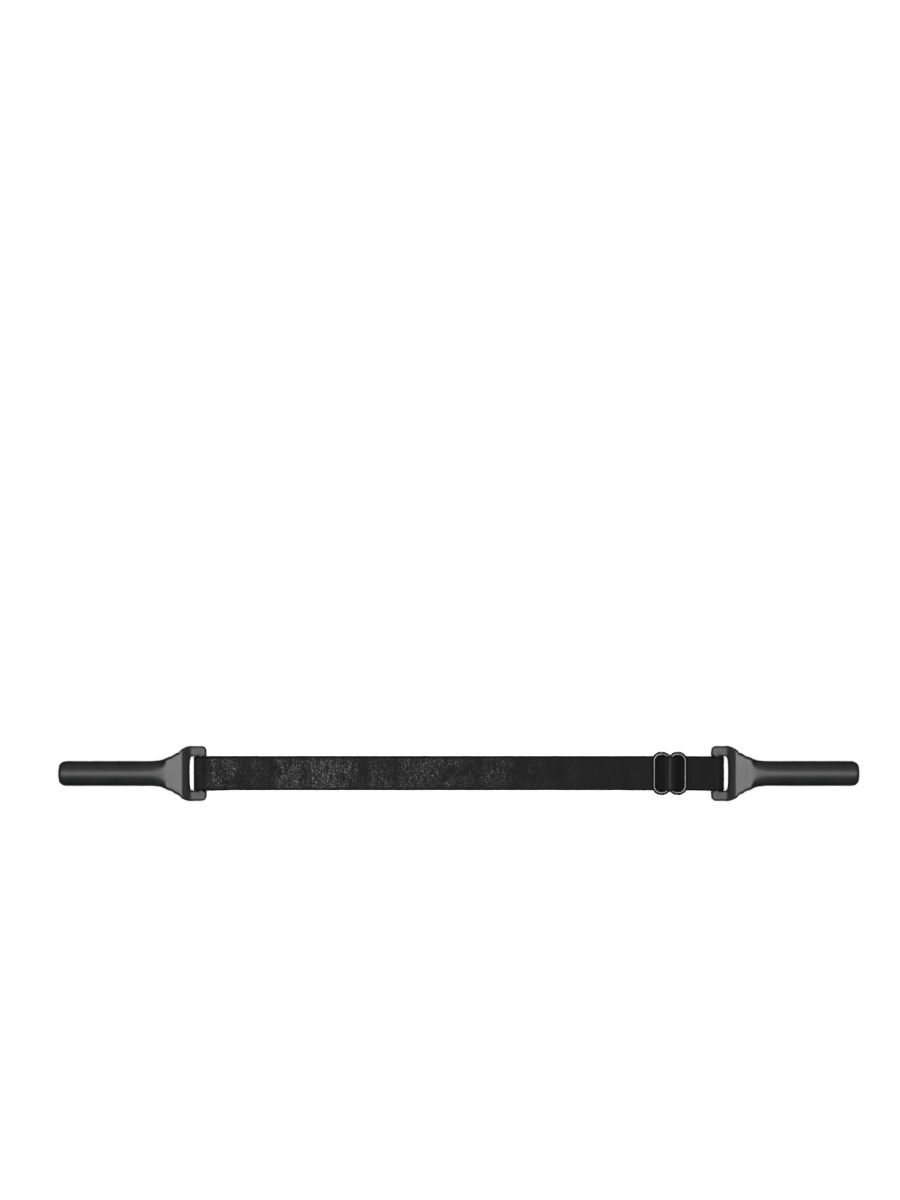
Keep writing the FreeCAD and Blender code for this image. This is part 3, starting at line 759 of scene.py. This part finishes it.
# ------------------------------------------------------------ floor and light
mesh = bpy.data.meshes.new("floor")
S = 4.0
mesh.from_pydata([(-S, -S, 0), (S, -S, 0), (S, S, 0), (-S, S, 0)], [], [(0, 1, 2, 3)])
floor = bpy.data.objects.new("floor", mesh)
floor.location = (0, 0, -0.00006)
bpy.context.collection.objects.link(floor)
floor.visible_glossy = False          # black gloss picks up the room, not the paper's glare
paper, tree, bsdf = material("white_paper")
at = stretch_coords(tree, 1, 1, 1)
tree.links.new(tint(tree, noise(tree, at, 30, 3, 0.5), (0.515, 0.515, 0.515), (0.525, 0.525, 0.525)), bsdf.inputs["Base Color"])
bsdf.inputs["Roughness"].default_value = 0.9
bsdf.inputs["Specular IOR Level"].default_value = 0.1
# away from the lamp the paper glows a little, so that it stays white as far as the backdrop
place = add(tree, "ShaderNodeTexCoord")
away = add(tree, "ShaderNodeVectorMath", operation="LENGTH")
tree.links.new(place.outputs["Object"], away.inputs[0])
bsdf.inputs["Emission Color"].default_value = (1, 1, 1, 1)
tree.links.new(spread(tree, away.outputs["Value"], 0.45, 2.0, 0.0, 1.05), bsdf.inputs["Emission Strength"])
mesh.materials.append(paper)

# a white dome closes the set; only the camera sees it
bm = bmesh.new()
bmesh.ops.create_uvsphere(bm, u_segments=64, v_segments=32, radius=3.9)
mesh = bpy.data.meshes.new("backdrop")
bm.to_mesh(mesh)
bm.free()
dome = bpy.data.objects.new("backdrop", mesh)
bpy.context.collection.objects.link(dome)
dome.visible_diffuse = dome.visible_glossy = dome.visible_transmission = dome.visible_shadow = False
paint, tree, bsdf = material("white_backdrop")
bsdf.inputs["Base Color"].default_value = (0.02, 0.02, 0.02, 1)
bsdf.inputs["Emission Color"].default_value = (1, 1, 1, 1)
tree.links.new(spread(tree, noise(tree, stretch_coords(tree, 1, 1, 1), 0.6, 2, 0.5), 0.3, 0.7, 1.04, 1.06), bsdf.inputs["Emission Strength"])
mesh.materials.append(paint)

SOFTBOX = 1.60
light = bpy.data.lights.new("softbox", "AREA")
light.shape = "RECTANGLE"
light.size, light.size_y = 0.52, 0.52
light.energy = 74.0 * math.pi * light.size * light.size_y
lamp = bpy.data.objects.new("softbox", light)
lamp.location = (0.0, 0.05, SOFTBOX)
lamp.visible_camera = False
bpy.context.collection.objects.link(lamp)

# a broad dim panel at the back, which shapes the rounds
wide, high = 3.2, 2.0
light = bpy.data.lights.new("back_panel", "AREA")
light.shape = "RECTANGLE"
light.size, light.size_y = wide, high
light.energy = 1.05 * math.pi * wide * high
panel = bpy.data.objects.new("back_panel", light)
panel.location = (0.0, 2.2, 1.1)
panel.rotation_euler = (math.radians(-90), 0, 0)
panel.visible_camera = False
bpy.context.collection.objects.link(panel)

# its weaker twin at the front, so that the near side is not lost in low views
light = bpy.data.lights.new("front_panel", "AREA")
light.shape = "RECTANGLE"
light.size, light.size_y = wide, 1.0
light.energy = 0.42 * math.pi * wide * 1.0
panel = bpy.data.objects.new("front_panel", light)
panel.location = (0.0, -2.2, 0.55)
panel.rotation_euler = (math.radians(90), 0, 0)
panel.visible_camera = False
bpy.context.collection.objects.link(panel)

world = bpy.data.worlds.new("studio")
bpy.context.scene.world = world
world.use_nodes = True
world.node_tree.nodes["Background"].inputs["Color"].default_value = (1, 1, 1, 1)
world.node_tree.nodes["Background"].inputs["Strength"].default_value = 0.06

scene = bpy.context.scene
scene.view_settings.view_transform = "Standard"
scene.view_settings.look = "None"
scene.view_settings.exposure = 0.0
scene.view_settings.gamma = 0.8

camera = bpy.data.cameras.new("camera")
camera.lens, camera.sensor_width = 135, 36
camera.dof.use_dof = False
eye = bpy.data.objects.new("camera", camera)
eye.location = (-0.00321, 0.06307, 1.636 + 0.00445)
eye.rotation_euler = (0, 0, 0)
camera.clip_start, camera.clip_end = 0.1, 20
bpy.context.collection.objects.link(eye)
scene.camera = eye
